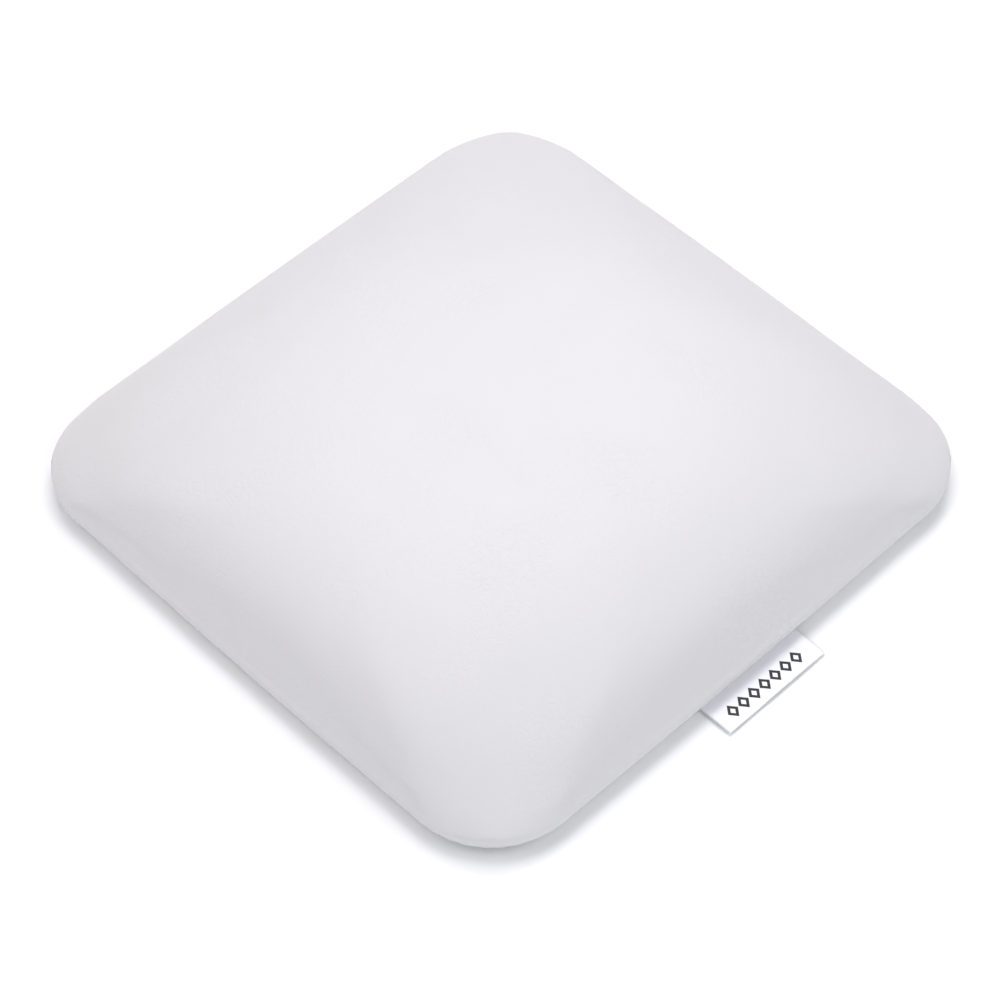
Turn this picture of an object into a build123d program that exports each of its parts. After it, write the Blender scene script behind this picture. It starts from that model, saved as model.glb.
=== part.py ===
"""Rest cushion for a spa treatment table: a rounded-square pad, built in layers on a plywood board.

From the table up: a soft underside sheet, the board, a firm foam, a soft foam and a wadding, under one
stretched leatherette cover that is turned under the board and stapled. A folded ribbon label is caught
under the front edge.

Row frame, in millimetres: +Z up, the label on the front (-Y) side, the origin at the middle of the face
that rests on the table.
"""

import os
from math import cos, hypot, pi, sin

from build123d import *

# ---------------------------------------------------------------- overall form, measured on the cover
PAD_WIDTH = 306.0  # X, where the cushion is widest
PAD_DEPTH = 300.0  # Y, where the cushion is widest
CORNER_RADIUS = 42.0  # plan radius of the four corners, where the cushion is widest
EDGE_TUCK = 5.5  # how far in the cover rolls, from its widest line to the flat underside
SIDE_SLOPE = 1.72  # rise over run of the sides, where they are straight
SHOULDER_RISE = 18.0  # from the widest line up to where the dome would start, were there no sides
CROWN_RISE = 32.0  # from there up to the middle of the dome
CROWN_FULLNESS = 4.0  # exponent of the dome: how flat its middle is
SHOULDER_TIGHTNESS = 3.6  # exponent of the blend from the sides into the dome
CORNER_ROUNDING = 1.6  # exponent of how high up the height contours turn from square to round

# ---------------------------------------------------------------- layers
COVER_THICKNESS = 1.2
WADDING_THICKNESS = 3.0
SHEET_THICKNESS = 2.0  # where it is pressed flat under the cover
BOARD_THICKNESS = 6.0
FIRM_FOAM_THICKNESS = 25.0

FLANGE_WIDTH = 25.0  # cover turned under the board
SHEET_SETBACK = 4.5  # from the start of the rolled edge to the edge of the underside sheet
SHEET_EDGE_RADIUS = 0.8
SHEET_RECESS_GAP = 0.5  # between the flange's free edge and the part of the sheet that fills its recess
BOARD_EDGE_RELIEF = 1.2  # extra round-over of the board, so that the rolled edge clears it
WADDING_GAP = 2.0  # from the board's underside up to the trimmed end of the wadding
VENT_RADIUS = 6.0
VENT_SPACING = 130.0  # between the outer vents, along X and Y

# ---------------------------------------------------------------- staples
STAPLE_CROWN = 10.0
STAPLE_LEG = 6.0
WIRE_WIDTH = 1.2
WIRE_THICKNESS = 0.5
STAPLE_PITCH = 20.0
STAPLE_SETBACK = 4.0  # from the free edge of the flange to the row of staples
LABEL_STAPLE_SPACING = 36.0

# ---------------------------------------------------------------- ribbon label
LABEL_WIDTH = 58.0
LABEL_REACH = 14.0  # beyond the side of the cushion
LABEL_TAIL_TUCK = 12.0  # under the flat of the flange
LABEL_THICKNESS = 0.5  # two layers of ribbon
LABEL_FOLD_RADIUS = 0.2
HINGE_STANDOFF = 1.0  # from the side of the cushion to the line where the label bends
HINGE_GAP = 0.3  # from that line to each half of the label

# ---------------------------------------------------------------- how finely the form is sampled
EDGE_SECTIONS = 4
TOP_SECTIONS = 12
TOP_SPACING = 1.8  # exponent that gathers the sections near the side
TOP_END = 0.93  # the last section's share of the way to the middle

HALF_SPAN = min(PAD_WIDTH, PAD_DEPTH) / 2
FLANGE_Z = SHEET_THICKNESS  # underside of the turned cover
BOARD_Z = FLANGE_Z + COVER_THICKNESS
BOARD_TOP = BOARD_Z + BOARD_THICKNESS
WIDEST_Z = BOARD_TOP  # the cushion is widest level with the board's upper edge
FIRM_TOP = BOARD_TOP + FIRM_FOAM_THICKNESS
EDGE_RISE = WIDEST_Z - FLANGE_Z  # height of the roll
OPENING_INSET = EDGE_TUCK + FLANGE_WIDTH  # from the widest line to the flange's free edge
SIDE_LAYERS = COVER_THICKNESS + WADDING_THICKNESS
PAD_HEIGHT = WIDEST_Z + SHOULDER_RISE + CROWN_RISE


def plan(inset, radius, z):
    """A rounded rectangle that stands in from the widest line by inset, at height z."""
    outline = RectangleRounded(PAD_WIDTH - 2 * inset, PAD_DEPTH - 2 * inset, radius)
    return Pos(0, 0, z) * outline


def slab(inset, radius, low, high):
    """A straight-sided block between two heights, with the same rounded plan."""
    return extrude(plan(inset, radius, low), amount=high - low)


def top_height(inset):
    """Height of the cover at a distance in from the side, along the middle of that side."""
    side = SIDE_SLOPE * inset
    dome = SHOULDER_RISE + CROWN_RISE * (1 - (1 - inset / HALF_SPAN) ** CROWN_FULLNESS)
    return WIDEST_Z + (side**-SHOULDER_TIGHTNESS + dome**-SHOULDER_TIGHTNESS) ** (-1 / SHOULDER_TIGHTNESS)


def top_radius(inset):
    """Corner radius of the height contour there: it goes from the corner radius to a full round."""
    square = CORNER_RADIUS / HALF_SPAN
    climbed = (top_height(inset) - WIDEST_Z) / (PAD_HEIGHT - WIDEST_Z)
    share = square + (1 - square) * climbed**CORNER_ROUNDING
    return share * (HALF_SPAN - inset)


def form(skin):
    """The cushion's outer form moved inwards by skin, square to its surface, as one solid."""
    nudge = 0.05
    sections = []
    for i in range(EDGE_SECTIONS):
        angle = pi / 2 * i / (EDGE_SECTIONS - 1)
        inset = EDGE_TUCK * (1 - sin(angle)) + skin * sin(angle)
        z = FLANGE_Z + EDGE_RISE * (1 - cos(angle)) + skin * cos(angle)
        sections.append(plan(inset, CORNER_RADIUS - inset, z))
    for i in range(1, TOP_SECTIONS + 1):
        inset = HALF_SPAN * TOP_END * (i / TOP_SECTIONS) ** TOP_SPACING
        slope = (top_height(inset + nudge) - top_height(inset - nudge)) / (2 * nudge)
        across, up = slope / hypot(slope, 1), 1 / hypot(slope, 1)
        radius = top_radius(inset) - skin * across
        sections.append(plan(inset + skin * across, radius, top_height(inset) - skin * up))
    return loft(sections)


def base_board():
    """Plywood, rounded over below, with vents that let air out of the foam."""
    radius = CORNER_RADIUS - SIDE_LAYERS
    board = slab(SIDE_LAYERS, radius, BOARD_Z, BOARD_TOP)
    lower_edges = board.edges().group_by(Axis.Z)[0]
    board = fillet(lower_edges, EDGE_TUCK - SIDE_LAYERS + BOARD_EDGE_RELIEF)
    vent = Cylinder(VENT_RADIUS, 2 * BOARD_THICKNESS)
    reach = VENT_SPACING / 2
    for x, y in [(0, 0), (-reach, -reach), (reach, -reach), (-reach, reach), (reach, reach)]:
        board -= Pos(x, y, BOARD_Z + BOARD_THICKNESS / 2) * vent
    return board


def layer_between(body, low, high):
    """The part of a body between two heights."""
    return body & slab(0, CORNER_RADIUS, low, high)


def wadding(lining, core):
    """The fibre layer between the cover and the foam, trimmed just above the board's underside."""
    board_space = slab(SIDE_LAYERS, CORNER_RADIUS - SIDE_LAYERS, 0, BOARD_TOP)
    foam_space = layer_between(core, BOARD_TOP, PAD_HEIGHT)
    return layer_between(lining, BOARD_Z + WADDING_GAP, PAD_HEIGHT) - board_space - foam_space


def leatherette_cover(outer, lining):
    """The stretched skin, open underneath inside its turned-under flange."""
    return outer - lining - slab(OPENING_INSET, CORNER_RADIUS - OPENING_INSET, 0, BOARD_TOP)


def underside_sheet(label_tail):
    """Soft sheet glued on last: it is squeezed thin over the flange and fills the recess inside it."""
    edge = EDGE_TUCK + SHEET_SETBACK
    sheet = slab(edge, CORNER_RADIUS - edge, 0, SHEET_THICKNESS)
    sheet = fillet(sheet.edges().group_by(Axis.Z)[0], SHEET_EDGE_RADIUS)
    recess = OPENING_INSET + SHEET_RECESS_GAP
    sheet += slab(recess, CORNER_RADIUS - recess, SHEET_THICKNESS, BOARD_Z)
    return sheet - label_tail


def staple():
    """One driven staple, its crown's lower face at height 0 and its legs pointing up."""
    crown = Box(STAPLE_CROWN, WIRE_WIDTH, WIRE_THICKNESS, align=(Align.CENTER, Align.CENTER, Align.MIN))
    leg = Box(WIRE_THICKNESS, WIRE_WIDTH, STAPLE_LEG, align=(Align.CENTER, Align.CENTER, Align.MIN))
    reach = (STAPLE_CROWN - WIRE_THICKNESS) / 2
    return crown + Pos(-reach, 0, 0) * leg + Pos(reach, 0, 0) * leg


def cover_staples():
    """A row of staples all round the flange, evenly spaced and along its edge."""
    inset = OPENING_INSET - STAPLE_SETBACK
    row = plan(inset, CORNER_RADIUS - inset, 0).face().outer_wire()
    count = round(row.length / STAPLE_PITCH)
    placed = []
    for i in range(count):
        at, along = row.position_at((i + 0.5) / count), row.tangent_at((i + 0.5) / count)
        turn = Vector(1, 0, 0).get_signed_angle(along, Vector(0, 0, 1))
        placed.append(Pos(at.X, at.Y, FLANGE_Z - WIRE_THICKNESS) * Rot(0, 0, turn) * staple())
    return Compound(children=placed)


def label_part(near, far):
    """A stretch of the ribbon, between two distances in front of the cushion's middle."""
    length = far - near
    flat = Box(LABEL_WIDTH, length, LABEL_THICKNESS, align=(Align.CENTER, Align.MAX, Align.MAX))
    return Pos(0, -near, FLANGE_Z) * flat


def label_tail():
    """The end of the ribbon that is caught under the flange."""
    inner = PAD_DEPTH / 2 - EDGE_TUCK - LABEL_TAIL_TUCK
    return label_part(inner, PAD_DEPTH / 2 + HINGE_STANDOFF - HINGE_GAP)


def label_flap():
    """The end of the ribbon that shows and flips up, with its fold along the outer edge."""
    flap = label_part(PAD_DEPTH / 2 + HINGE_STANDOFF + HINGE_GAP, PAD_DEPTH / 2 + LABEL_REACH)
    fold = flap.edges().filter_by(Axis.X).group_by(Axis.Y)[0]
    return fillet(fold, LABEL_FOLD_RADIUS)


def label_staples():
    """Two staples through the label's tail."""
    y = -(PAD_DEPTH / 2 - EDGE_TUCK - LABEL_TAIL_TUCK / 2)
    z = FLANGE_Z - LABEL_THICKNESS - WIRE_THICKNESS
    reach = LABEL_STAPLE_SPACING / 2
    return Compound(children=[Pos(x, y, z) * staple() for x in (-reach, reach)])


def build():
    """Every sub-part by name, in place."""
    outer, lining, core = form(0), form(COVER_THICKNESS), form(SIDE_LAYERS)
    parts = {"base_board": base_board()}
    parts["firm_foam"] = layer_between(core, BOARD_TOP, FIRM_TOP)
    parts["soft_foam"] = layer_between(core, FIRM_TOP, PAD_HEIGHT)
    parts["wadding"] = wadding(lining, core)
    parts["leatherette_cover"] = leatherette_cover(outer, lining)
    parts["label_tail"] = label_tail()
    parts["label_flap"] = label_flap()
    parts["underside_sheet"] = underside_sheet(parts["label_tail"])
    parts["cover_staples"] = cover_staples()
    parts["label_staples"] = label_staples()
    return parts


os.makedirs("parts", exist_ok=True)
for name, shape in build().items():
    export_step(shape, f"parts/{name}.step")
    print(f"{name}: {len(shape.solids())} solid(s), {shape.volume / 1000:.1f} cm3")
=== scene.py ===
# %% [markdown]
# # A rest cushion for a treatment table
# The cushion is a rounded square of foam on a thin board, under one stretched skin of white leatherette.
# A folded ribbon label is caught under its front edge. The frame below is the engineering model: it fixes
# every size, every place and the one thing that moves, the label. This script makes what is seen. The
# frame's directions are kept: Z is up, the label is on the -Y side, and the origin is in the middle of
# the face that rests on the table.

import bpy
import numpy as np
from mathutils import Matrix, Vector


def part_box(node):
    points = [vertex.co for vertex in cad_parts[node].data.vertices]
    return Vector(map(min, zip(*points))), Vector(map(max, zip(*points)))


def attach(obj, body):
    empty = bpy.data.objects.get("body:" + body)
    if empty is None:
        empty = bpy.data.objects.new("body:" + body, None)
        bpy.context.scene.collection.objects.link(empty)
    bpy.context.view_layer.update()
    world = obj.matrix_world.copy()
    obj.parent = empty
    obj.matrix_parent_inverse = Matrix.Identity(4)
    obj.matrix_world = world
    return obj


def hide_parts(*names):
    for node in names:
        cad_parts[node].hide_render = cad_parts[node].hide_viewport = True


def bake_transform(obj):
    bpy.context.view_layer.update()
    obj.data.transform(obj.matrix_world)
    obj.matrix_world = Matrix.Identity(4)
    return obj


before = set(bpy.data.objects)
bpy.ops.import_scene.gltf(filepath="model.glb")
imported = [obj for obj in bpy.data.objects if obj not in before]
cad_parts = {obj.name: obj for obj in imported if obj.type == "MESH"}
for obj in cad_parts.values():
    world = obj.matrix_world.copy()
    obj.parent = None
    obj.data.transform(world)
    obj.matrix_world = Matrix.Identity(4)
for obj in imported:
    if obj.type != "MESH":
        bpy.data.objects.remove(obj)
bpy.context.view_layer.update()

# %% [markdown]
# ## Where the viewer stands
# A long lens far away keeps the sides of the square nearly parallel. The camera looks down at about 52
# degrees onto the corner between the front and the left side, so that corner is nearest. It is placed by
# angles round a point to aim at, because angles are easier to judge and change than coordinates.

# %% The camera
MM = 0.001
AIM_MM = (-10.8, -10.4, 1.0)
AZIMUTH_DEG = -44.06
ELEVATION_DEG = 52.17
DISTANCE_MM = 1444.2
LENS_MM = 119.8
ROLL_DEG = -0.52


def camera_at(aim, azimuth, elevation, distance, roll):
    """A camera's place and turn: from the aim, go back along the azimuth and up by the elevation, look
    back at the aim with its top upwards, and then tip it sideways about its own line of sight."""
    turn, lift = np.radians(azimuth), np.radians(elevation)
    back = Vector((np.sin(turn) * np.cos(lift), -np.cos(turn) * np.cos(lift), np.sin(lift)))
    look = back.to_track_quat("Z", "Y").to_matrix().to_4x4()
    tip = Matrix.Rotation(np.radians(roll), 4, "Z")
    return Matrix.Translation(Vector(aim) + back * distance) @ look @ tip


camera_data = bpy.data.cameras.new("camera")
camera_data.lens = LENS_MM
camera_data.clip_end = 20
camera = bpy.data.objects.new("camera", camera_data)
aim = np.array(AIM_MM) * MM
camera.matrix_world = camera_at(aim, AZIMUTH_DEG, ELEVATION_DEG, DISTANCE_MM * MM, ROLL_DEG)
bpy.context.scene.collection.objects.link(camera)
bpy.context.scene.camera = camera
print("camera at", [round(value, 3) for value in camera.location])

# %% [markdown]
# ## Two helpers for materials
# Colours are written as the hex values that a paint chart or a colour picker gives. Blender's shaders
# count light instead, so one function turns a hex value into linear light. A second small function adds
# one node, sets its values and links its inputs, so that each material below reads like a recipe.


# %% Helpers for materials
def linear(hex_value, alpha=1.0):
    """A hex colour as linear light. Below 0.04045 a channel is divided by 12.92, and above it the channel
    plus 0.055 is divided by 1.055 and raised to the power 2.4."""
    channels = np.array([int(hex_value[i : i + 2], 16) for i in (1, 3, 5)]) / 255
    light = np.where(channels <= 0.04045, channels / 12.92, ((channels + 0.055) / 1.055) ** 2.4)
    return (*light.tolist(), alpha)


def add(tree, kind, settings=None, links=None):
    """Adds one node. Settings are its own properties or its inputs' values, links are sockets that feed
    its inputs, and either may name an input by its place where names repeat."""
    node = tree.nodes.new("ShaderNode" + kind)
    for key, value in (settings or {}).items():
        if isinstance(key, str) and hasattr(node, key):
            setattr(node, key, value)
    for key, value in (settings or {}).items():
        if isinstance(key, int) or not hasattr(node, key):
            node.inputs[key].default_value = value
    for key, source in (links or {}).items():
        tree.links.new(source, node.inputs[key])
    return node


def new_material(name):
    """An empty material whose one shader is already joined to the output: its tree, and that shader."""
    material = bpy.data.materials.new(name)
    material.use_nodes = True
    tree = material.node_tree
    tree.nodes.clear()
    shader = add(tree, "BsdfPrincipled")
    add(tree, "OutputMaterial", links={"Surface": shader.outputs["BSDF"]})
    return material, tree, shader


# %% [markdown]
# ## Leatherette
# The cover is PU leatherette: a white polyurethane skin, foamed onto a knitted backing and embossed with
# a fine hide grain. Seen close, there are two patterns: pebbles about 1.5 mm across, and short shallow
# creases 3 to 5 mm long that come and go where the skin was stretched over the foam. Both are relief, so
# they go into the bump. The skin is evenly dyed, with a soft sheen rather than a shine, so the colour
# hardly varies and the roughness is about a half. The patterns are solid textures in object space: they
# need no unwrapping, and they run over the shoulder without a seam.

# %% Leatherette: where its two patterns lie
PEBBLE_MM = 1.5
CREASE_MM = 4.2
PATCH_MM = 38.0
CREASE_WIDTH = 0.16  # share of a cell that a crease's slope takes
CREASE_WANDER = 1.6  # how far a crease strays, in crease lengths

leatherette, tree, shader = new_material("pu_leatherette_white")
place = add(tree, "TexCoord").outputs["Object"]
patches = add(tree, "TexNoise", {"Scale": 1 / (PATCH_MM * MM), "Detail": 3.0}, {"Vector": place})
wander = add(tree, "TexNoise", {"Scale": 1 / (CREASE_MM * MM), "Detail": 1.0}, {"Vector": place})
wander = add(
    tree,
    "VectorMath",
    {"operation": "SCALE", "Scale": CREASE_WANDER * CREASE_MM * MM},
    {0: wander.outputs["Color"]},
)
bent = add(tree, "VectorMath", {"operation": "ADD"}, {0: place, 1: wander.outputs[0]}).outputs[0]
pebbles = add(
    tree,
    "TexVoronoi",
    {"feature": "SMOOTH_F1", "Smoothness": 0.6, "Scale": 1 / (PEBBLE_MM * MM)},
    {"Vector": bent},
)
creases = add(
    tree,
    "TexVoronoi",
    {"feature": "DISTANCE_TO_EDGE", "Scale": 1 / (CREASE_MM * MM)},
    {"Vector": bent},
)
creases = add(
    tree,
    "MapRange",
    {"interpolation_type": "SMOOTHSTEP", "From Max": CREASE_WIDTH},
    {"Value": creases.outputs["Distance"]},
)
print("leatherette: pebbles", PEBBLE_MM, "mm, creases", CREASE_MM, "mm")

# %% Leatherette: relief, tint and sheen
PEBBLE_DEPTH_MM = 0.035
CREASE_DEPTH_MM = 0.06

crease_here = add(
    tree,
    "MapRange",
    {"From Min": 0.42, "From Max": 0.66, "To Min": 0.15},
    {"Value": patches.outputs["Fac"]},
)
pebble_bump = add(
    tree,
    "Bump",
    {"Distance": PEBBLE_DEPTH_MM * MM, "Strength": 1.0, "invert": True},
    {"Height": pebbles.outputs["Distance"]},
)
grain_bump = add(
    tree,
    "Bump",
    {"Distance": CREASE_DEPTH_MM * MM},
    {
        "Height": creases.outputs["Result"],
        "Strength": crease_here.outputs["Result"],
        "Normal": pebble_bump.outputs["Normal"],
    },
)
tint = add(
    tree,
    "Mix",
    {"data_type": "RGBA", 6: linear("#DBD9DA"), 7: linear("#DEDCDE")},
    {0: patches.outputs["Fac"]},
)
gloss = add(
    tree,
    "MapRange",
    {"From Min": 0.35, "From Max": 0.65, "To Min": 0.46, "To Max": 0.54},
    {"Value": patches.outputs["Fac"]},
)
tree.links.new(tint.outputs[2], shader.inputs["Base Color"])
tree.links.new(gloss.outputs["Result"], shader.inputs["Roughness"])
tree.links.new(grain_bump.outputs["Normal"], shader.inputs["Normal"])
shader.inputs["IOR"].default_value = 1.48
print("leatherette: relief", PEBBLE_DEPTH_MM, "and", CREASE_DEPTH_MM, "mm deep")

# %% [markdown]
# ## The form of the cushion
# Cut the cushion level at any height and the outline is a rounded square: near the board it has the
# board's corners, and towards the top it becomes a circle. So the form needs only three things for each
# level: how far it stands in from the side, how high it is, and its corner radius. They are worked out
# along one profile, from the middle of the top, over the shoulder, down the side, round the rolled lower
# edge and back under the board. The same profile, moved inwards square to itself, gives every layer
# inside.

# %% Sizes of the form, in millimetres
pad_low, pad_high = (np.array(corner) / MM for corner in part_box("leatherette_cover"))
board_low, board_high = (np.array(corner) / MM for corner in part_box("base_board"))
firm_low, firm_high = (np.array(corner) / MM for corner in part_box("firm_foam"))
BOW = 0.8  # the sides bow out by this much between the corners
CORNER_DRAW = 0.6  # and the corners are drawn in by this much
HALF_SPAN = pad_high[1] - CORNER_DRAW
ASPECT = pad_high[0] / pad_high[1]  # the pad is a little wider than deep
CORNER_RADIUS = 42.0
EDGE_TUCK = 5.5
SIDE_SLOPE = 1.72
SHOULDER_RISE = 18.0
CROWN_RISE = 32.0
CROWN_FULLNESS = 4.0
SHOULDER_TIGHTNESS = 3.6
CORNER_ROUNDING = 1.6
FLANGE_Z = pad_low[2]
WIDEST_Z = board_high[2]
FIRM_TOP = firm_high[2]
COVER_THICKNESS = board_low[2] - FLANGE_Z
WADDING_THICKNESS = 3.0
SIDE_LAYERS = COVER_THICKNESS + WADDING_THICKNESS
FLANGE_WIDTH = 25.0  # how much of the cover is turned under and stapled
OPENING_INSET = EDGE_TUCK + FLANGE_WIDTH
print("half size", round(HALF_SPAN, 2), "mm, widest at", round(WIDEST_Z, 2), "mm")
print("cover", round(COVER_THICKNESS, 2), "mm thick")


# %% The profile
def side_and_dome(inset):
    """Height and corner radius at an inset from the side. The side is a straight slope and the dome is one
    minus a falling power. The height is their soft minimum: both to the power -t, added, and the sum to the
    power -1/t, where t is the tightness of the shoulder. The corner radius goes from its own share of the
    half size at the widest line to the whole of it on top."""
    side = np.maximum(SIDE_SLOPE * inset, 1e-6)
    share = np.clip(inset / HALF_SPAN, 0, 1)
    dome = SHOULDER_RISE + CROWN_RISE * (1 - (1 - share) ** CROWN_FULLNESS)
    climb = (side**-SHOULDER_TIGHTNESS + dome**-SHOULDER_TIGHTNESS) ** (-1 / SHOULDER_TIGHTNESS)
    square = CORNER_RADIUS / HALF_SPAN
    climbed = np.clip(climb / (SHOULDER_RISE + CROWN_RISE), 0, 1)
    return WIDEST_Z + climb, (square + (1 - square) * climbed**CORNER_ROUNDING) * (HALF_SPAN - inset)


def skin_profile(skin, samples=600):
    """Rows of inset, height and corner radius, from the middle of the top to the end of the roll, moved
    inwards by skin square to the profile: the inward direction is the profile's own, turned a quarter. The
    roll is a quarter of an ellipse."""
    inset = HALF_SPAN * np.linspace(1, 0, samples) ** 2.5
    height, radius = side_and_dome(inset)
    angle = np.linspace(np.pi / 2, 0, samples // 6)[1:]
    inset = np.append(inset, EDGE_TUCK * (1 - np.sin(angle)))
    height = np.append(height, FLANGE_Z + (WIDEST_Z - FLANGE_Z) * (1 - np.cos(angle)))
    radius = np.append(radius, CORNER_RADIUS - EDGE_TUCK * (1 - np.sin(angle)))
    run, climb = np.gradient(inset), np.gradient(height)
    length = np.hypot(run, climb)
    across, up = -climb / length, run / length
    return np.stack([inset + skin * across, height + skin * up, radius - skin * across], -1)


def resample(rows, rings, closer=None):
    """The same profile at rings + 1 places, evenly spaced along its length. Where closer is given, it says
    for each row how much more closely the places stand there."""
    steps = np.linalg.norm(np.diff(rows[:, :2], axis=0), axis=1)
    if closer is not None:
        steps = steps * closer[1:]
    effort = np.append(0, np.cumsum(steps))
    wanted = np.linspace(0, effort[-1], rings + 1)
    return np.stack([np.interp(wanted, effort, column) for column in rows.T], -1)


def straight_rows(*corners_and_counts):
    """Rows along straight lines through corner rows: corner, count, corner, count ... corner, where each
    line is cut into its count of equal steps."""
    corners = [np.array(corner, float) for corner in corners_and_counts[::2]]
    counts = corners_and_counts[1::2]
    lines = []
    for start, end, count in zip(corners, corners[1:], counts):
        shares = np.linspace(0, 1, count, endpoint=False)[:, None]
        lines.append(start + (end - start) * shares)
    return np.concatenate([*lines, corners[-1:]])


print("top at", round(float(side_and_dome(np.array([HALF_SPAN]))[0][0]), 2), "mm")

# %% [markdown]
# ## From a profile to a surface
# A disc of rings and spokes would crowd hundreds of thin triangles into the middle of the top. A square
# grid has no such pole: its square rings are laid on the rounded-square levels of the form, ring for
# ring, so the middle is an ordinary crossing of four faces. Only one eighth of each level is worked out,
# from the middle of a side to its corner, and the other seven eighths are the same numbers with the axes
# swapped or turned round.


# %% The surface
def spread(rows, bow=0.0):
    """A square grid of points, one square ring for each row of the profile. In each ring, the share of the
    way from the middle of a side to its corner is a length along the level's outline: first its straight
    part, then half of its corner arc."""
    rings = len(rows) - 1
    index = np.arange(-rings, rings + 1)
    a, b = np.meshgrid(index, index, indexing="ij")
    ring = np.maximum(abs(a), abs(b))
    share = np.minimum(abs(a), abs(b)) / np.maximum(ring, 1)
    inset, height, radius = rows[ring].transpose(2, 0, 1)
    half = np.maximum(HALF_SPAN - inset, 1e-9)
    radius = np.clip(radius, 1e-9, half)
    straight = half - radius
    run = share * (straight + radius * np.pi / 4)
    turn = np.clip((run - straight) / radius, 0, None)
    swell = bow * half / HALF_SPAN * (1 - np.clip(run / np.maximum(straight, 1e-9), 0, 1) ** 2) ** 2
    far = np.where(turn > 0, straight + radius * np.cos(turn), half) + swell
    near = np.where(turn > 0, straight + radius * np.sin(turn), run)
    x = np.sign(a) * np.where(abs(a) >= abs(b), far, near) * ASPECT
    y = np.sign(b) * np.where(abs(a) >= abs(b), near, far)
    return np.stack([x, y, height], -1)


def grid_faces(index):
    """Quads between neighbouring points of a grid of point numbers, turning left seen from above."""
    corners = (index[:-1, :-1], index[1:, :-1], index[1:, 1:], index[:-1, 1:])
    return np.stack(corners, -1).reshape(-1, 4)


def new_piece(name, points_mm, faces, material, smooth=True):
    """A mesh object from arrays of points, in millimetres, and of faces with equal numbers of corners."""
    mesh = bpy.data.meshes.new(name)
    mesh.vertices.add(len(points_mm))
    mesh.vertices.foreach_set("co", (points_mm * MM).astype(np.float32).ravel())
    mesh.loops.add(faces.size)
    mesh.loops.foreach_set("vertex_index", faces.ravel().astype(np.int32))
    mesh.polygons.add(len(faces))
    mesh.polygons.foreach_set("loop_start", np.arange(0, faces.size, faces.shape[1], dtype=np.int32))
    mesh.polygons.foreach_set("use_smooth", np.full(len(faces), smooth))
    mesh.update(calc_edges=True)
    mesh.materials.append(material)
    piece = bpy.data.objects.new(name, mesh)
    bpy.context.scene.collection.objects.link(piece)
    return piece


def closed_pair(upper, lower):
    """Points and faces of a closed body from two grids that share their outermost ring: the faces of the
    lower grid are turned over, and its rim uses the upper grid's points."""
    size = len(upper)
    number = np.arange(size * size).reshape(size, size)
    inside = np.zeros((size, size), bool)
    inside[1:-1, 1:-1] = True
    below = number.copy()
    below[inside] = size * size + np.arange(inside.sum())
    points = np.concatenate([upper.reshape(-1, 3), lower[inside]])
    faces = np.concatenate([grid_faces(number), grid_faces(below)[:, ::-1]])
    return points, faces


def sharpen(piece, angle_deg=35.0):
    """Edges that turn by more than the angle are drawn crisp, and the faces stay smooth between them."""
    piece.data.set_sharp_from_angle(angle=np.radians(angle_deg))


# %% [markdown]
# ## The cover, drawn tight
# The real cover is one flat piece of leatherette, pulled over the foam, turned under the board and
# stapled all round. The formula gives its form, but a formula is too even: real foam pushes the skin out
# until the skin's own tension holds it. So a coarse copy that starts a little too small is blown up by a
# cloth simulation, with the stapled part held still, and the difference between that and the formula is
# carried over to the fine surface. The movement is capped, because it has to stay a finish and not a new
# form, and where the skin would be drawn in, the foam stops it softly.

# %% The cover's rows
COVER_RINGS = 96
ROLL_CLOSENESS = 2.2  # how much more closely the rings stand round the rolled edge
ROLL_END_MM = (8.0, 2.0)  # that stretch ends this far above the widest line, and in from the roll

flange = np.linspace(EDGE_TUCK, OPENING_INSET, 40)[1:]
flange = np.stack([flange, np.full_like(flange, FLANGE_Z), CORNER_RADIUS - flange], -1)
outer = np.concatenate([skin_profile(0), flange])
in_roll = (outer[:, 1] < WIDEST_Z + ROLL_END_MM[0]) & (outer[:, 0] < EDGE_TUCK + ROLL_END_MM[1])
closeness = np.where(in_roll, ROLL_CLOSENESS, 1.0)
cover_rows = resample(outer, COVER_RINGS, closeness)
cover_points = spread(cover_rows, BOW)
print(len(cover_rows), "cover rows from", cover_rows[0].round(1), "to", cover_rows[-1].round(1))

# %% The slimmer copy that is blown up
SIM_RINGS = 48
START_IN_MM = 1.6
FADE_MM = 12.0  # above the widest line, over which the copy becomes slimmer

slim = np.concatenate([skin_profile(START_IN_MM), flange])
fade = np.clip((outer[:, 1:2] - WIDEST_Z) / FADE_MM, 0, 1)
true_rows = resample(outer, SIM_RINGS, closeness)
slim_rows = resample(np.hstack([outer, outer + fade * (slim - outer)]), SIM_RINGS, closeness)[:, 3:]
true_grid = spread(true_rows, BOW)
slim_grid = spread(slim_rows, BOW)
lid = spread(straight_rows((HALF_SPAN, FLANGE_Z, 0), SIM_RINGS, true_rows[-1]), BOW)
index = abs(np.arange(-SIM_RINGS, SIM_RINGS + 1))
ring_of = np.maximum(*np.meshgrid(index, index, indexing="ij")).ravel()
slim_points, slim_faces = closed_pair(slim_grid, lid)
print("slim copy", len(slim_points), "points")


# %% Blown up by the foam
PRESSURE = 4.0
SKIN_STIFFNESS = 60.0
LAST_FRAME = 20
MOST_MOVEMENT_MM = 3.0


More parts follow.
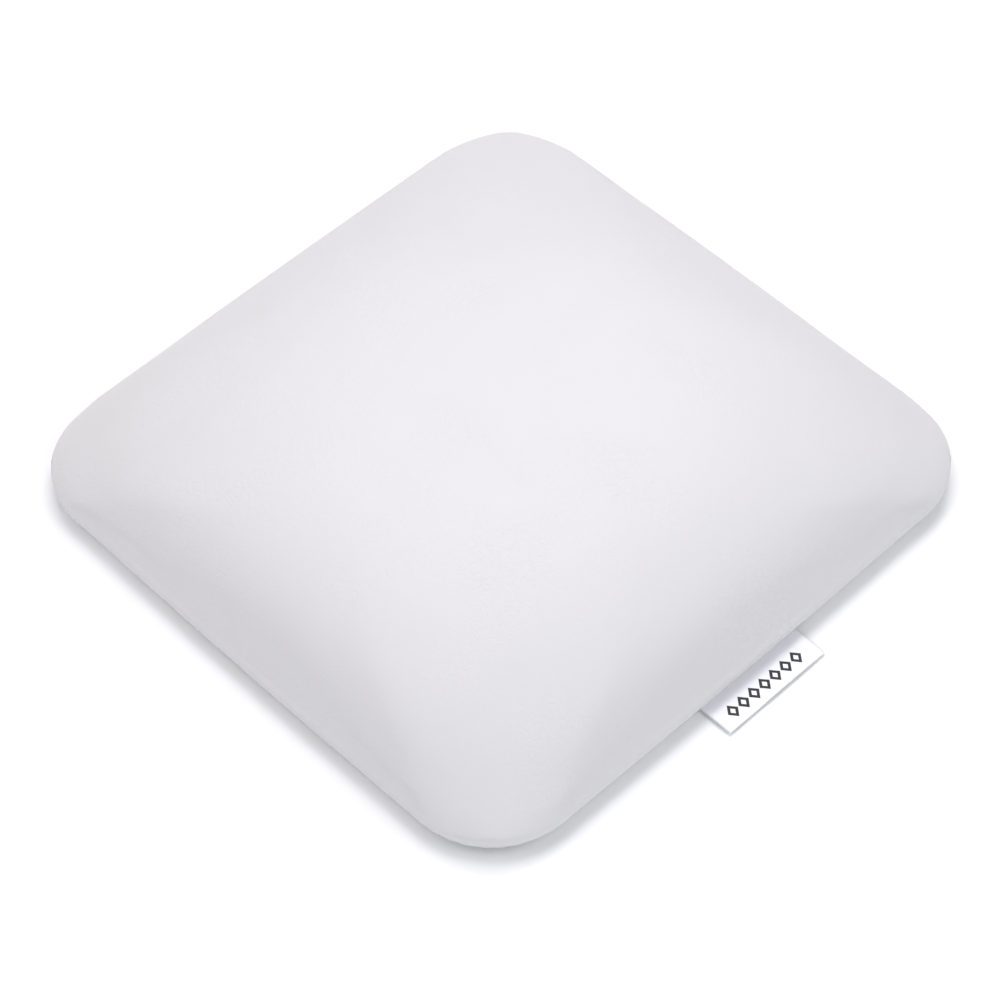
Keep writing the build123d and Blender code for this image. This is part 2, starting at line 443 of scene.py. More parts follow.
def blown_up(points, faces, held):
    """Where the points are after the cloth simulation: pressure inside, no gravity, and the held points
    still."""
    skin = new_piece("slim_cover", points, faces, leatherette)
    skin.vertex_groups.new(name="stapled").add(held.tolist(), 1.0, "REPLACE")
    cloth = skin.modifiers.new("tension", "CLOTH")
    cloth.settings.quality = 5
    cloth.settings.mass = 0.3
    cloth.settings.tension_stiffness = SKIN_STIFFNESS
    cloth.settings.compression_stiffness = SKIN_STIFFNESS
    cloth.settings.use_pressure = True
    cloth.settings.uniform_pressure_force = PRESSURE
    cloth.settings.vertex_group_mass = "stapled"
    cloth.settings.effector_weights.gravity = 0
    cloth.point_cache.frame_start, cloth.point_cache.frame_end = 1, LAST_FRAME
    for frame_number in range(1, LAST_FRAME + 1):
        bpy.context.scene.frame_set(frame_number)
    after = skin.evaluated_get(bpy.context.evaluated_depsgraph_get())
    places = np.empty(len(points) * 3, np.float32)
    after.data.vertices.foreach_get("co", places)
    mesh = skin.data
    bpy.data.objects.remove(skin)
    bpy.data.meshes.remove(mesh)
    bpy.context.scene.frame_set(1)
    return places.reshape(-1, 3) / MM


def finer(grid):
    """A grid twice as fine: each new point between two old ones is nine sixteenths of both, less one
    sixteenth of the next on either side, which keeps the surface smooth."""
    for axis in (0, 1):
        grid = np.moveaxis(grid, axis, 0)
        wide = np.concatenate([2 * grid[:1] - grid[1:2], grid, 2 * grid[-1:] - grid[-2:-1]])
        between = (9 * (wide[1:-2] + wide[2:-1]) - wide[:-3] - wide[3:]) / 16
        double = np.empty((2 * len(grid) - 1, *grid.shape[1:]))
        double[::2], double[1::2] = grid, between
        grid = np.moveaxis(double, 0, axis)
    return grid


drawn = np.zeros_like(cover_points)
stapled = np.where(ring_of >= np.argmax(true_rows[:, 1] <= FLANGE_Z + 0.01))[0]
held = np.concatenate([stapled, np.arange(slim_grid.size // 3, len(slim_points))])
moved = (blown_up(slim_points, slim_faces, held) - slim_points)[: slim_grid.size // 3]
length = np.linalg.norm(moved, axis=1, keepdims=True)
moved *= MOST_MOVEMENT_MM * np.tanh(length / MOST_MOVEMENT_MM) / np.maximum(length, 1e-9)
drawn = finer(moved.reshape(slim_grid.shape) + slim_grid - true_grid)
print("height drawn by", drawn[..., 2].min().round(2), "to", drawn[..., 2].max().round(2), "mm")


# %% Stopped by the foam
FOAM_STOP_MM = 0.5  # the foam lets the drawn cover in by no more than this


def grid_normals(points):
    """Unit vectors square to a grid's surface: the cross product of its slopes along its two ways."""
    square = np.cross(np.gradient(points, axis=0), np.gradient(points, axis=1))
    return square / np.maximum(np.linalg.norm(square, axis=-1, keepdims=True), 1e-9)


outward = grid_normals(cover_points)
inward = np.clip(-(drawn * outward).sum(-1), 0, None)
drawn += (inward - FOAM_STOP_MM * np.tanh(inward / FOAM_STOP_MM))[..., None] * outward
print("the cover wanted to go in by", inward.max().round(2), "mm and is let in by", FOAM_STOP_MM)

# %% [markdown]
# ## The cover's unevenness
# Foam, wadding and hand stapling leave the skin a little uneven: shallow swells a few centimetres apart,
# far too low to see as shapes but enough to make the light wander over the top. At the four lower corners
# the spare leatherette is gathered in small pleats before it is stapled. Both are worked out as heights
# and added along the surface's own normals.


# %% Swells and pleats
SWELL_MM = 0.09
SWELL_SPACING_MM = (22.0, 70.0)
PLEAT_MM = 0.35
PLEATS_PER_CORNER = 9
PLEAT_FADE_MM = 6.0  # beside the corner's arc, over which the pleats end


def swells(points, count=18, seed=7):
    """A sum of plane waves, each a sine along its own chance direction, with a chance spacing and start."""
    chance = np.random.default_rng(seed)
    way = chance.normal(size=(count, 3))
    way /= np.linalg.norm(way, axis=1, keepdims=True)
    way *= 2 * np.pi / chance.uniform(*SWELL_SPACING_MM, size=(count, 1))
    return SWELL_MM * np.sin(points @ way.T + chance.uniform(0, 2 * np.pi, count)).sum(-1) / np.sqrt(count)


def pleats(points):
    """How far the gathers go in: a wave round each lower corner's arc, that fades out up the rolled edge
    and away from the corner, in both directions."""
    middle = HALF_SPAN - CORNER_RADIUS
    east, north = abs(points[..., 0]) - middle * ASPECT, abs(points[..., 1]) - middle
    angle = np.arctan2(np.clip(north, 0, None), np.clip(east, 0, None)) * 2 / np.pi
    corner = np.clip(np.minimum(east, north) / PLEAT_FADE_MM, 0, 1)
    low = np.clip((WIDEST_Z - points[..., 2]) / (WIDEST_Z - FLANGE_Z), 0, 1) ** 1.5
    return PLEAT_MM * low * corner * (0.5 - 0.5 * np.cos(2 * np.pi * PLEATS_PER_CORNER * angle))


uneven = (swells(cover_points) - pleats(cover_points))[..., None] * outward
uneven[cover_points[..., 2] < FLANGE_Z + 0.01, 2] = 0
print("swells and pleats from", uneven.min().round(2), "to", uneven.max().round(2), "mm")

# %% The finished cover
cover_surface = cover_points + drawn + uneven
numbers = np.arange(cover_surface.size // 3).reshape(cover_surface.shape[:2])
cover = new_piece("cover", cover_surface.reshape(-1, 3), grid_faces(numbers), leatherette)
wall = cover.modifiers.new("wall", "SOLIDIFY")
wall.thickness = COVER_THICKNESS * MM
wall.offset = -1
wall.use_even_offset = True
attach(cover, "cushion")
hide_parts("leatherette_cover")
print("cover", len(cover.data.polygons), "faces, top at", cover_surface[..., 2].max().round(2), "mm")

# %% [markdown]
# ## Foam
# Two polyurethane foams fill the cover: a firm block on the board carries the load, and a softer layer
# makes the crown comfortable. Both are cut from blocks, so their skin is open cells, which look like tiny
# pits with bright rims. Real cells are about half a millimetre, too fine to show, so they are drawn three
# times as large. A foam's colour is an accident of its additives: here the firm one is pale grey and the
# soft one cream.


# %% The two foams' finish
CELL_MM = 1.5
BLOTCH_MM = 25.0
CELL_DEPTH_MM = 0.3


def cut_foam(name, painted_pit_shade_hex, high_hex):
    """Open-celled foam: pits from the distance to the nearest cell centre, with painted shade that darkens
    the pits, more in some blotches than in others.
    """
    material, tree, shader = new_material(name)
    place = add(tree, "TexCoord").outputs["Object"]
    cells = add(tree, "TexVoronoi", {"Scale": 1 / (CELL_MM * MM)}, {"Vector": place})
    blotches = add(tree, "TexNoise", {"Scale": 1 / (BLOTCH_MM * MM), "Detail": 4.0}, {"Vector": place})
    pit_shade_amount = add(
        tree,
        "Math",
        {"operation": "MULTIPLY"},
        {0: cells.outputs["Distance"], 1: blotches.outputs["Fac"]},
    )
    # Painted shade: from the foam's own colour towards its pit shade, as the pits deepen and the blotches
    # grow.
    tint = add(
        tree,
        "Mix",
        {"data_type": "RGBA", 6: linear(high_hex), 7: linear(painted_pit_shade_hex)},
        {0: pit_shade_amount.outputs[0]},
    )
    pits = add(
        tree,
        "Bump",
        {"Distance": CELL_DEPTH_MM * MM, "invert": True},
        {"Height": cells.outputs["Distance"]},
    )
    tree.links.new(tint.outputs[2], shader.inputs["Base Color"])
    tree.links.new(pits.outputs["Normal"], shader.inputs["Normal"])
    shader.inputs["Roughness"].default_value = 0.95
    return material


# For each foam: its name, its painted pit shade, and its own colour.
firm_grey = cut_foam("firm_pu_foam_grey", "#8F9498", "#D2D6D9")
soft_cream = cut_foam("soft_pu_foam_cream", "#BDB08C", "#EFE7CF")
print("foam cells drawn", CELL_MM, "mm wide")

# %% The firm block
core_rows = skin_profile(SIDE_LAYERS)
in_block = (core_rows[:, 1] <= FIRM_TOP) & (core_rows[:, 1] >= WIDEST_Z)
block_side = resample(core_rows[in_block], 14)
block_top = straight_rows((HALF_SPAN, block_side[0, 1], 0), 30, block_side[0])
block_upper = np.concatenate([block_top, block_side[1:]])
block_lower = straight_rows((HALF_SPAN, block_side[-1, 1], 0), len(block_upper) - 1, block_side[-1])
block_shape = closed_pair(spread(block_upper, BOW), spread(block_lower, BOW))
firm_block = new_piece("firm_block", *block_shape, firm_grey)
sharpen(firm_block)
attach(firm_block, "cushion")
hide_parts("firm_foam")
print("firm block from", block_lower[0, 1].round(1), "to", block_upper[0, 1].round(1), "mm")

# %% The soft crown
crown_upper = resample(core_rows[core_rows[:, 1] >= FIRM_TOP], 44)
crown_lower = straight_rows((HALF_SPAN, crown_upper[-1, 1], 0), 44, crown_upper[-1])
crown_shape = closed_pair(spread(crown_upper, BOW), spread(crown_lower, BOW))
soft_crown = new_piece("soft_crown", *crown_shape, soft_cream)
sharpen(soft_crown)
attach(soft_crown, "cushion")
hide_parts("soft_foam")
print("soft crown up to", crown_upper[0, 1].round(1), "mm")

# %% [markdown]
# ## Wadding
# A layer of polyester fibre lies between the foam and the cover, so that the cover slides instead of
# sticking and no corner of the foam shows. It is a shell: outside it follows the cover's inner face, with
# room for the cover where that is drawn in, inside it follows the foam and then the board's edge, and it
# is trimmed just above the board's underside.

# %% The fibre's finish
FIBRE_MM = 0.6  # drawn many times coarser than real fibres, which are too fine to show

polyester_fibre, tree, shader = new_material("polyester_wadding_white")
place = add(tree, "TexCoord").outputs["Object"]
stretched = add(tree, "Mapping", {"Scale": (1.0, 0.18, 0.5)}, {"Vector": place})
fibres = add(
    tree,
    "TexNoise",
    {"Scale": 1 / (FIBRE_MM * MM), "Detail": 6.0, "Distortion": 1.5},
    {"Vector": stretched.outputs["Vector"]},
)
fluff = add(tree, "Bump", {"Distance": 0.5 * MM}, {"Height": fibres.outputs["Fac"]})
tint = add(
    tree,
    "Mix",
    {"data_type": "RGBA", 6: linear("#D8D9D6"), 7: linear("#F4F4F1")},
    {0: fibres.outputs["Fac"]},
)
tree.links.new(tint.outputs[2], shader.inputs["Base Color"])
tree.links.new(fluff.outputs["Normal"], shader.inputs["Normal"])
shader.inputs["Roughness"].default_value = 1.0
shader.inputs["Sheen Weight"].default_value = 0.3
print("fibre drawn", FIBRE_MM, "mm wide")

# %% The wadding's shell
WADDING_RINGS = 60
TRIM_UP_MM = 2.0
TRIM_Z = board_low[2] + TRIM_UP_MM

lining_rows = skin_profile(COVER_THICKNESS + FOAM_STOP_MM)
lining_rows = resample(lining_rows[lining_rows[:, 1] >= TRIM_Z], WADDING_RINGS)
over_foam = resample(core_rows[core_rows[:, 1] >= WIDEST_Z], WADDING_RINGS - 6)
board_edge = (SIDE_LAYERS, TRIM_Z, CORNER_RADIUS - SIDE_LAYERS)
along_board = straight_rows(over_foam[-1], 4, board_edge, 2, lining_rows[-1])
inner_rows = np.concatenate([over_foam, along_board[1:]])
wadding_shape = closed_pair(spread(lining_rows, BOW), spread(inner_rows, BOW))
wadding = new_piece("fibre_wadding", *wadding_shape, polyester_fibre)
sharpen(wadding)
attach(wadding, "cushion")
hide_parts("wadding")
print("wadding trimmed at", TRIM_Z.round(2), "mm,", len(wadding.data.polygons), "faces")

# %% [markdown]
# ## The underside sheet
# A soft sheet of foamed rubber, with rows of raised dots that grip the table, is glued over the staples.
# It is pressed thin over the turned cover and fills the shallow recess inside it, so its upper face is
# stepped, and it gives way where the label's tail runs under it. The dots are separate small domes: a few
# dozen triangles each, their rims sunk into the sheet and their tips on the table.

# %% The sheet's two finishes
rubber_sheet_and_contact_shade, tree, shader = new_material("grey_rubber_and_painted_contact_shade")
place = add(tree, "TexCoord").outputs["Object"]
skin_noise = add(tree, "TexNoise", {"Scale": 1 / (1.2 * MM), "Detail": 4.0}, {"Vector": place})
# The sheet's dark grey is partly the rubber's own colour and partly painted shade: it darkens the thin line
# where the cushion meets the table.
tint = add(
    tree,
    "Mix",
    {"data_type": "RGBA", 6: linear("#4B4D50"), 7: linear("#626468")},
    {0: skin_noise.outputs["Fac"]},
)
dimples = add(tree, "Bump", {"Distance": 0.15 * MM}, {"Height": skin_noise.outputs["Fac"]})
tree.links.new(tint.outputs[2], shader.inputs["Base Color"])
tree.links.new(dimples.outputs["Normal"], shader.inputs["Normal"])
shader.inputs["Roughness"].default_value = 0.85

soft_pvc, tree, shader = new_material("soft_pvc_dots_dark")
place = add(tree, "TexCoord").outputs["Object"]
scuffs = add(tree, "TexNoise", {"Scale": 1 / (6 * MM), "Detail": 3.0}, {"Vector": place})
wear = add(tree, "MapRange", {"To Min": 0.35, "To Max": 0.6}, {"Value": scuffs.outputs["Fac"]})
tint = add(
    tree,
    "Mix",
    {"data_type": "RGBA", 6: linear("#2E3032"), 7: linear("#3C3E41")},
    {0: scuffs.outputs["Fac"]},
)
tree.links.new(tint.outputs[2], shader.inputs["Base Color"])
tree.links.new(wear.outputs["Result"], shader.inputs["Roughness"])
print("sheet finishes", rubber_sheet_and_contact_shade.name, soft_pvc.name)

# %% The sheet
DOT_HEIGHT_MM = 0.5
SHEET_SETBACK = 4.5  # from where the roll of the edge ends
SHEET_INSET = EDGE_TUCK + SHEET_SETBACK
SHEET_ROUND_MM = 0.7
RECESS_INSET = OPENING_INSET + 0.5
POCKET_ROOM_MM = 8.0  # the hollow for the label's tail, past its sides and its end
POCKET_FADE_MM = 6.0
tail_low, tail_high = (np.array(corner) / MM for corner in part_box("label_tail"))
flap_low, flap_high = (np.array(corner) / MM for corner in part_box("label_flap"))


def level(inset, height):
    """A row of the underside: its corner radius shrinks as its inset grows."""
    return (inset, height, CORNER_RADIUS - inset)


recess_top, glue_line = board_low[2], FLANGE_Z
rim = level(SHEET_INSET, DOT_HEIGHT_MM + SHEET_ROUND_MM)
over = straight_rows(
    (HALF_SPAN, recess_top, 0),
    34,
    level(RECESS_INSET, recess_top),
    2,
    level(RECESS_INSET, glue_line),
    24,
    level(SHEET_INSET, glue_line),
    2,
    rim,
)
turn = np.linspace(np.pi / 2, 0, 6)
edge_inset = SHEET_INSET + SHEET_ROUND_MM * (1 - np.cos(turn))
edge_height = DOT_HEIGHT_MM + SHEET_ROUND_MM * (1 - np.sin(turn))
edge_rows = np.stack([edge_inset, edge_height, CORNER_RADIUS - edge_inset], -1)
under = straight_rows((HALF_SPAN, DOT_HEIGHT_MM, 0), len(over) - len(edge_rows), edge_rows[0])
sheet_upper = spread(over)
sheet_lower = spread(np.concatenate([under, edge_rows[1:]]))
beside = np.clip((tail_high[0] + POCKET_ROOM_MM - abs(sheet_upper[..., 0])) / POCKET_FADE_MM, 0, 1)
behind = np.clip((tail_high[1] + POCKET_ROOM_MM - sheet_upper[..., 1]) / POCKET_FADE_MM, 0, 1)
pocket = (glue_line - tail_low[2] + 0.05) * beside * behind
on_flange = (sheet_upper[..., 2] <= glue_line + 0.01) & (sheet_upper[..., 2] > rim[1] + 0.01)
sheet_upper[..., 2] -= np.where(on_flange, pocket, 0)
grip_sheet = new_piece("grip_sheet", *closed_pair(sheet_upper, sheet_lower), rubber_sheet_and_contact_shade)
sharpen(grip_sheet)
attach(grip_sheet, "cushion")
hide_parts("underside_sheet")
print("sheet", len(grip_sheet.data.polygons), "faces")

# %% The dots
DOT_SPACING_MM = 8.0
DOT_RADIUS_MM = 1.7
DOT_SIDES = 10
DOT_MARGIN_MM = 5.0  # from the sheet's edge to the nearest dot's middle
ROWS_EACH_WAY = 20

lift = np.array([0.0, 0.12, 0.36, 0.62, 0.62])  # heights of one dot's rings, tip first
girth = np.array([0.0, 0.62, 0.95, 1.0, 0.0]) * DOT_RADIUS_MM
around = np.arange(DOT_SIDES) * 2 * np.pi / DOT_SIDES
wide, high = girth[1:4, None], lift[1:4, None]
rings = np.stack([wide * np.cos(around), wide * np.sin(around), high + 0 * around], -1)
one_dot = np.concatenate([[[0, 0, lift[0]]], rings.reshape(-1, 3), [[0, 0, lift[4]]]])
here = np.arange(DOT_SIDES)
after = np.roll(here, -1)
tip, base = 0, 3 * DOT_SIDES + 1
first, second, third = (1 + ring * DOT_SIDES for ring in range(3))
triangles = [
    (tip + 0 * here, first + after, first + here),
    (first + here, first + after, second + after),
    (first + here, second + after, second + here),
    (second + here, second + after, third + after),
    (second + here, third + after, third + here),
    (third + here, third + after, base + 0 * here),
]
dot_faces = np.concatenate([np.stack(ring, -1) for ring in triangles])
every = np.arange(-ROWS_EACH_WAY, ROWS_EACH_WAY + 1)
row, column = np.meshgrid(every, every, indexing="ij")
east = (column + 0.5 * (row % 2)) * DOT_SPACING_MM
north = row * DOT_SPACING_MM * np.sqrt(3) / 2
past_x = abs(east) - (HALF_SPAN * ASPECT - CORNER_RADIUS)
past_y = abs(north) - (HALF_SPAN - CORNER_RADIUS)
past_corner = np.hypot(np.clip(past_x, 0, None), np.clip(past_y, 0, None))
beyond = past_corner + np.minimum(np.maximum(past_x, past_y), 0)
fits = CORNER_RADIUS - beyond > SHEET_INSET + DOT_MARGIN_MM
centres = np.stack([east[fits], north[fits], np.zeros(fits.sum())], -1)
dot_points = (centres[:, None] + one_dot).reshape(-1, 3)
every_dot = (dot_faces[None] + np.arange(len(centres))[:, None, None] * len(one_dot)).reshape(-1, 3)
dots = new_piece("grip_dots", dot_points, every_dot, soft_pvc)
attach(dots, "cushion")
print(len(centres), "dots of", len(dot_faces), "triangles")

# %% [markdown]
# ## The ribbon label
# The label is one length of polyester satin ribbon, folded double, with its two ends caught under the
# turned cover and stapled. It is made as one surface that runs out along the upper layer, round the fold
# and back along the lower layer, and a Solidify modifier gives the ribbon its thickness. It has its own
# UV map, across and along the ribbon, because weave and print follow the cloth. A label's print names its
# maker, so here it is a plain row of lozenge outlines instead. The ribbon crosses the line where the flap
# bends, and its points stand closer there.

# %% Satin ribbon: weave and print
RIBBON_WIDTH_MM = flap_high[0] - flap_low[0]
THREAD_MM = 0.5  # twice the real spacing, which is too fine to show
LOZENGES = 7
LOZENGE_PITCH_MM = 6.4
LOZENGE_MM = (5.9, 7.2)
STROKE = 0.55  # the outline's width, as a share of half a lozenge
ROW_START_MM = 5.6  # from the ribbon's left edge
ROW_MIDDLE_MM = 24.9  # along the ribbon, from the end of its upper layer

satin, tree, shader = new_material("satin_ribbon_printed")
over_ribbon = add(tree, "SeparateXYZ", links={0: add(tree, "UVMap").outputs["UV"]})
across = add(
    tree,
    "Math",
    {"operation": "MULTIPLY_ADD", 1: RIBBON_WIDTH_MM, 2: -ROW_START_MM},
    {0: over_ribbon.outputs["X"]},
)
count = add(tree, "Math", {"operation": "DIVIDE", 1: LOZENGE_PITCH_MM}, {0: across.outputs[0]})
cell = add(tree, "Math", {"operation": "FRACT"}, {0: count.outputs[0]})
aside = add(tree, "Math", {"operation": "SUBTRACT", 1: 0.5}, {0: cell.outputs[0]})
aside = add(tree, "Math", {"operation": "ABSOLUTE"}, {0: aside.outputs[0]})
aside = add(
    tree,
    "Math",
    {"operation": "MULTIPLY", 1: 2 * LOZENGE_PITCH_MM / LOZENGE_MM[0]},
    {0: aside.outputs[0]},
)
along = add(
    tree,
    "Math",
    {"operation": "MULTIPLY_ADD", 1: RIBBON_WIDTH_MM, 2: -ROW_MIDDLE_MM},
    {0: over_ribbon.outputs["Y"]},
)
along = add(tree, "Math", {"operation": "ABSOLUTE"}, {0: along.outputs[0]})
reach = add(
    tree,
    "Math",
    {"operation": "MULTIPLY_ADD", 1: 2 / LOZENGE_MM[1]},
    {0: along.outputs[0], 2: aside.outputs[0]},
)
outline = add(
    tree,
    "Math",
    {"operation": "COMPARE", 1: 1 - STROKE / 2, 2: STROKE / 2},
    {0: reach.outputs[0]},
)
begun = add(tree, "Math", {"operation": "GREATER_THAN", 1: 0.0}, {0: count.outputs[0]})
ended = add(tree, "Math", {"operation": "LESS_THAN", 1: float(LOZENGES)}, {0: count.outputs[0]})
printed = add(tree, "Math", {"operation": "MULTIPLY"}, {0: begun.outputs[0], 1: ended.outputs[0]})
printed = add(tree, "Math", {"operation": "MULTIPLY"}, {0: printed.outputs[0], 1: outline.outputs[0]})
print("print:", LOZENGES, "lozenges,", LOZENGES * LOZENGE_PITCH_MM, "mm long")

# %% Satin ribbon: colour, relief and sheen
BANDS_PER_TURN = 20 / (2 * np.pi)  # a wave texture's bands in one unit, at a scale of one
thread_scale = RIBBON_WIDTH_MM / THREAD_MM / BANDS_PER_TURN

ribbon_uv = add(tree, "UVMap").outputs["UV"]
warp = add(tree, "TexWave", {"bands_direction": "X", "Scale": thread_scale}, {"Vector": ribbon_uv})
weft = add(tree, "TexWave", {"bands_direction": "Y", "Scale": thread_scale / 2}, {"Vector": ribbon_uv})
weave = add(
    tree,
    "Math",
    {"operation": "MULTIPLY_ADD", 1: 0.5},
    {0: weft.outputs["Fac"], 2: warp.outputs["Fac"]},
)
threads = add(tree, "Bump", {"Distance": 0.02 * MM}, {"Height": weave.outputs[0]})
slubs = add(tree, "TexNoise", {"Scale": 9.0, "Detail": 3.0}, {"Vector": ribbon_uv})
cloth_white = add(
    tree,
    "Mix",
    {"data_type": "RGBA", 6: linear("#EFEFF3"), 7: linear("#F5F5F9")},
    {0: slubs.outputs["Fac"]},
)
inked = add(
    tree,
    "Mix",
    {"data_type": "RGBA", 7: linear("#1D1D20")},
    {0: printed.outputs[0], 6: cloth_white.outputs[2]},
)
dullness = add(tree, "MapRange", {"To Min": 0.42, "To Max": 0.62}, {"Value": printed.outputs[0]})
tree.links.new(inked.outputs[2], shader.inputs["Base Color"])
tree.links.new(dullness.outputs["Result"], shader.inputs["Roughness"])
tree.links.new(threads.outputs["Normal"], shader.inputs["Normal"])
shader.inputs["Sheen Weight"].default_value = 0.15
print("thread scale", round(float(thread_scale), 1))

# %% The ribbon
PLY_MM = 0.22
LIFT_MM = 0.22  # how much the free edge waves up and down
DROOP_MM = 0.2
PUFF_MM = 0.1  # how far the upper layer stands off the lower one, half way out
BEND_REACH_MM = 2.0  # to either side of the bend, where the points stand closer

ribbon_top, ribbon_bottom = tail_high[2], tail_low[2]
fold_radius = (ribbon_top - ribbon_bottom - PLY_MM) / 2
bend_y = (tail_low[1] + flap_high[1]) / 2
turn_y = flap_low[1] + fold_radius + PLY_MM / 2
outwards = np.concatenate([
    np.linspace(tail_high[1], bend_y + BEND_REACH_MM, 9)[:-1],
    np.linspace(bend_y + BEND_REACH_MM, bend_y - BEND_REACH_MM, 14)[:-1],
    np.linspace(bend_y - BEND_REACH_MM, turn_y, 20),
])
half_turn = np.linspace(np.pi / 2, -np.pi / 2, 9)[1:-1]
path_y = np.concatenate([outwards, turn_y - fold_radius * np.cos(half_turn), outwards[::-1]])
path_z = np.concatenate([
    np.full(len(outwards), fold_radius),
    fold_radius * np.sin(half_turn),
    np.full(len(outwards), -fold_radius),
]) + (ribbon_top + ribbon_bottom) / 2
travelled = np.append(0, np.cumsum(np.hypot(np.diff(path_y), np.diff(path_z))))
x = np.linspace(flap_low[0], flap_high[0], 59)
free_from = bend_y - 0.5  # just past the bend, from where the ribbon waves and droops
free = np.clip((free_from - path_y) / (free_from - turn_y), 0, 1)[:, None]
wave = LIFT_MM * (np.sin(2 * np.pi * x / 44 + 0.7) + 0.4 * np.sin(2 * np.pi * x / 19 + 2.1))
layer = (path_z > (ribbon_top + ribbon_bottom) / 2)[:, None]
puff = PUFF_MM * layer * np.sin(np.pi * free)
ribbon_z = path_z[:, None] + free**1.5 * wave - DROOP_MM * free**2 + puff
ribbon_points = np.stack([x + 0 * ribbon_z, path_y[:, None] + 0 * ribbon_z, ribbon_z], -1)
ribbon_numbers = np.arange(ribbon_z.size).reshape(ribbon_z.shape)
ribbon_faces = grid_faces(ribbon_numbers)
label = new_piece("ribbon_label", ribbon_points.reshape(-1, 3), ribbon_faces, satin)
ribbon_uvs = np.stack([
    (x - x[0] + 0 * ribbon_z) / RIBBON_WIDTH_MM,
    (travelled[:, None] + 0 * ribbon_z) / RIBBON_WIDTH_MM,
], -1).reshape(-1, 2)
uv_layer = label.data.uv_layers.new(name="along_the_ribbon")
uv_layer.data.foreach_set("uv", ribbon_uvs[ribbon_faces.ravel()].astype(np.float32).ravel())
thickness = label.modifiers.new("thickness", "SOLIDIFY")
thickness.thickness = PLY_MM * MM
thickness.offset = 0
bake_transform(label)
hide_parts("label_tail", "label_flap")
print("ribbon", travelled[-1].round(1), "mm long, its fold at y", outwards[-1].round(1), "mm")

# %% [markdown]
# ## The board and the staples
# These are hard and hidden, so the frame's own shapes are kept and only their finishes are made. The
# board is birch plywood: pale veneers, with the grain along X, stacked with dark glue lines that show on
# its edge, which a stripe by height gives. The staples are galvanised steel wire: a metal with a dull,
# slightly mottled zinc.

# %% Plywood and wire
VENEER_MM = 1.2
GRAIN_MM = 1.6

birch, tree, shader = new_material("birch_plywood")
place = add(tree, "TexCoord").outputs["Object"]
lengthwise = add(tree, "Mapping", {"Scale": (0.06, 1.0, 1.0)}, {"Vector": place})
grain = add(
    tree,
    "TexNoise",
    {"Scale": 1 / (GRAIN_MM * MM), "Detail": 5.0, "Distortion": 0.8},
    {"Vector": lengthwise.outputs["Vector"]},
)
height = add(tree, "SeparateXYZ", links={0: place})
plies = add(
    tree,
    "Math",
    {"operation": "MULTIPLY_ADD", 1: 1 / (VENEER_MM * MM), 2: -float(board_low[2]) / VENEER_MM},
    {0: height.outputs["Z"]},
)
ply = add(tree, "Math", {"operation": "FRACT"}, {0: plies.outputs[0]})
glue = add(tree, "Math", {"operation": "COMPARE", 1: 0.5, 2: 0.06}, {0: ply.outputs[0]})
wood = add(
    tree,
    "Mix",
    {"data_type": "RGBA", 6: linear("#CBA97A"), 7: linear("#E6CFA6")},
    {0: grain.outputs["Fac"]},
)
glued = add(
    tree,
    "Mix",
    {"data_type": "RGBA", 7: linear("#7A5A38")},
    {0: glue.outputs[0], 6: wood.outputs[2]},
)
fuzz = add(tree, "Bump", {"Distance": 0.08 * MM}, {"Height": grain.outputs["Fac"]})
tree.links.new(glued.outputs[2], shader.inputs["Base Color"])
tree.links.new(fuzz.outputs["Normal"], shader.inputs["Normal"])
shader.inputs["Roughness"].default_value = 0.7

zinc_wire, tree, shader = new_material("galvanised_steel_wire")
place = add(tree, "TexCoord").outputs["Object"]
mottle = add(tree, "TexNoise", {"Scale": 1 / (0.8 * MM), "Detail": 3.0}, {"Vector": place})
tint = add(
    tree,
    "Mix",
    {"data_type": "RGBA", 6: linear("#A9ADB1"), 7: linear("#CDD0D3")},
    {0: mottle.outputs["Fac"]},
)
dullness = add(tree, "MapRange", {"To Min": 0.3, "To Max": 0.5}, {"Value": mottle.outputs["Fac"]})
tree.links.new(tint.outputs[2], shader.inputs["Base Color"])
tree.links.new(dullness.outputs["Result"], shader.inputs["Roughness"])
shader.inputs["Metallic"].default_value = 1.0

finishes = {"base_board": birch, "cover_staples": zinc_wire, "label_staples": zinc_wire}
for name, finish in finishes.items():
    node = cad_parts[name]
    node.data.materials.clear()
    node.data.materials.append(finish)
print("finishes on", sorted(finishes))

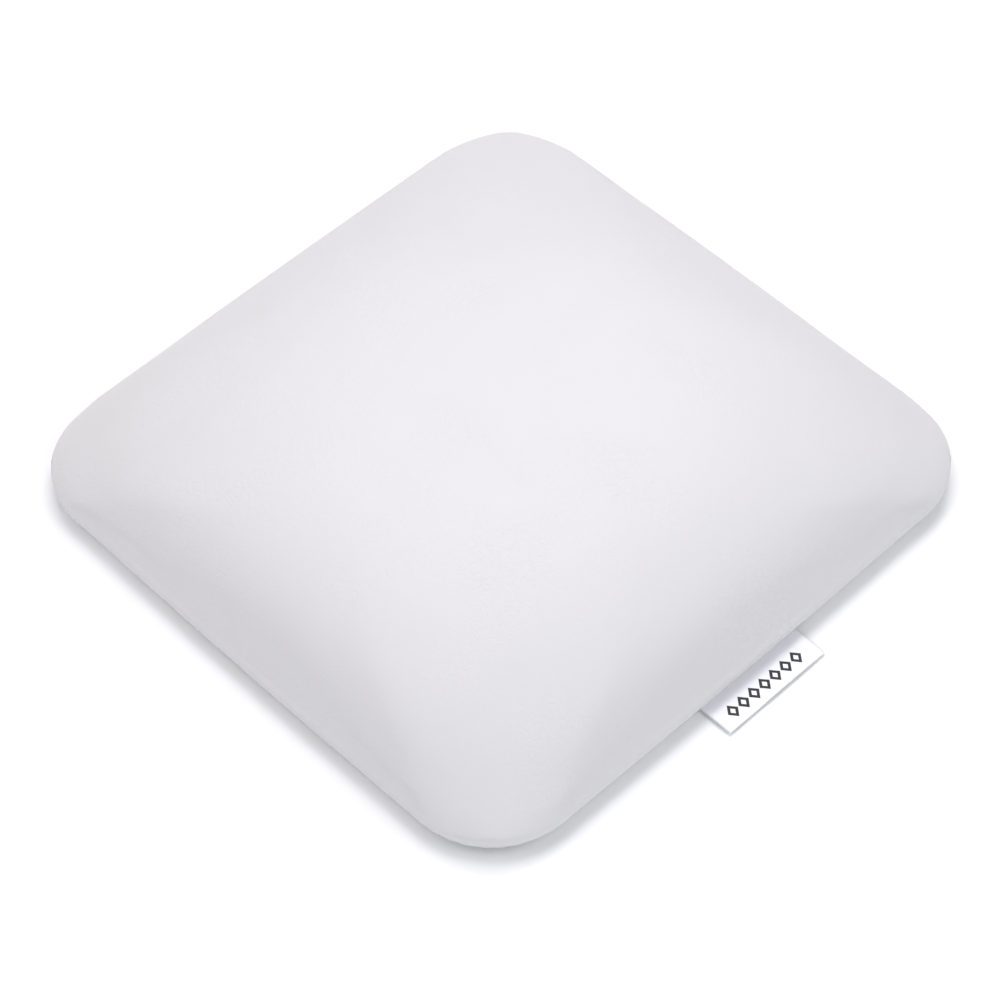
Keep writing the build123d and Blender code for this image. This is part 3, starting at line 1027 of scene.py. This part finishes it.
# %% [markdown]
# ## The table and the light
# A plain matt white surface and soft boxes, as for a product picture. The key light hangs high over the
# far side of the cushion, so that the top is bright, the two near sides are in soft shade and their short
# shadow falls towards the viewer. Weaker boxes low at the back, to the left, to the right and in front,
# and some light from everywhere, keep the shade open. Each box is a hair bluer or warmer than white.

# %% The floor
FLOOR_HALF_MM = 6000.0

matt_white, tree, shader = new_material("matt_white_table")
shader.inputs["Base Color"].default_value = linear("#FAFAFA")
shader.inputs["Roughness"].default_value = 0.9
corners = np.array([[-1, -1], [1, -1], [1, 1], [-1, 1]]) * FLOOR_HALF_MM
corners = np.column_stack([corners, np.zeros(len(corners))])
floor = new_piece("floor", corners, np.array([[0, 1, 2, 3]]), matt_white, smooth=False)
print("floor", 2 * FLOOR_HALF_MM / 1000, "m square")

# %% The lights
WORLD_STRENGTH = 0.27
BOX_DISTANCE = 1.7
# for each box: its azimuth and elevation in degrees, its side in metres, its watts and its colour
SOFT_BOXES = {
    "high_back_key": (140, 68, 1.0, 14.1, "#FCFBFF"),
    "low_back_box": (115, 45, 0.7, 4.1, "#FAF7FF"),
    "right_box": (30, 45, 1.1, 6.2, "#FEFFFF"),
    "high_left_box": (225, 55, 1.1, 5.9, "#FBF9FF"),
    "low_left_box": (240, 32, 1.1, 2.2, "#FFF6EC"),
    "front_box": (-35, 24, 1.2, 7.5, "#EEF7FF"),
}

world = bpy.data.worlds.new("studio")
world.use_nodes = True
world.node_tree.nodes["Background"].inputs["Color"].default_value = linear("#FFFFFF")
world.node_tree.nodes["Background"].inputs["Strength"].default_value = WORLD_STRENGTH
bpy.context.scene.world = world
for name, (azimuth, elevation, size, watts, colour) in SOFT_BOXES.items():
    light = bpy.data.lights.new(name, "AREA")
    light.shape = "SQUARE"
    light.size = size
    light.energy = watts
    light.color = linear(colour)[:3]
    box = bpy.data.objects.new(name, light)
    box.matrix_world = camera_at((0, 0, 0.03), azimuth, elevation, BOX_DISTANCE, 0)
    bpy.context.scene.collection.objects.link(box)
bpy.context.scene.view_settings.view_transform = "Standard"
print("lights", sorted(SOFT_BOXES))
